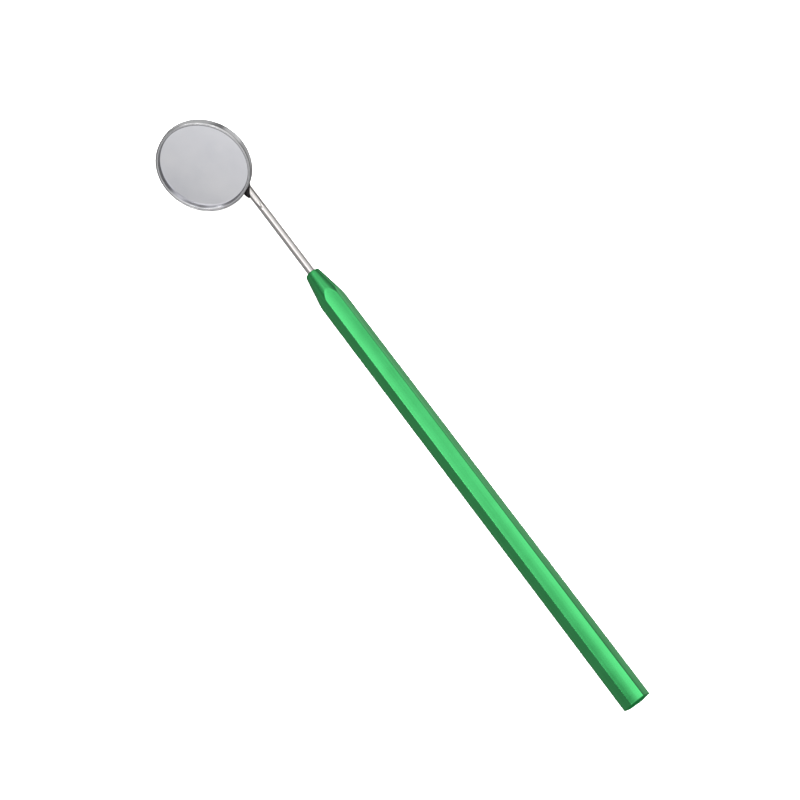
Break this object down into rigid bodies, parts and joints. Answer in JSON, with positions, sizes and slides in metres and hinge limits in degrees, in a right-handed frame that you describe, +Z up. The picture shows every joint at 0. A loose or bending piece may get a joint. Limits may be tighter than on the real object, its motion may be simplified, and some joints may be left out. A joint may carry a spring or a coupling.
{
  "type": "mouth mirror",
  "caption": "Dental mouth mirror: round angled mirror head on a bent wire stem that screws into the nose of a hexagonal anodised handle.",
  "frame": {"origin": "middle of the handle's bottom flat, on the surface that the handle lies on", "axes": "+X along the handle from its nose to its plain end, +Z up out of the flat that it lies on; the mirror head is at -X, above the surface and to the -Y side"},
  "size_m": [0.171, 0.0211, 0.0202],
  "materials": {
    "green_anodised": "satin anodised, green",
    "bush_steel": "turned",
    "ring_rubber": "matt",
    "stem_steel": "polished stainless steel",
    "weld_metal": "dark weld scale",
    "cup_steel": "polished stainless steel",
    "retainer_steel": "polished stainless steel",
    "mirror_glass": "clear, ground edge",
    "mirror_coating": "front-surface mirror",
    "seal_silicone": "translucent grey",
    "cement": "cured adhesive"
  },
  "bodies": {
    "handle_body": {"handle": "green_anodised", "thread_bush": "bush_steel"},
    "grip_body": {"gripping_ring": "ring_rubber"},
    "mirror_body": {"stem": "stem_steel", "stem_weld": "weld_metal", "mirror_cup": "cup_steel", "retaining_ring": "retainer_steel", "mirror_glass": "mirror_glass", "mirror_coating": "mirror_coating", "edge_seal": "seal_silicone", "cement_bed": "cement"}
  },
  "joints": [
    {"name": "stem_turn", "type": "hinge", "parent": "handle_body", "child": "grip_body", "pos_m": [-0.0625, 0, 0.003], "axis": [-1, 0, 0], "range_deg": [0, 4680]},
    {"name": "stem_unscrew", "type": "slide", "parent": "grip_body", "child": "mirror_body", "axis": [-1, 0, 0], "range_m": [0, 0.0052]}
  ],
  "couplings": [
    {"joint": "stem_unscrew", "follows": "stem_turn", "m_per_rad": 0.000063661}
  ]
}
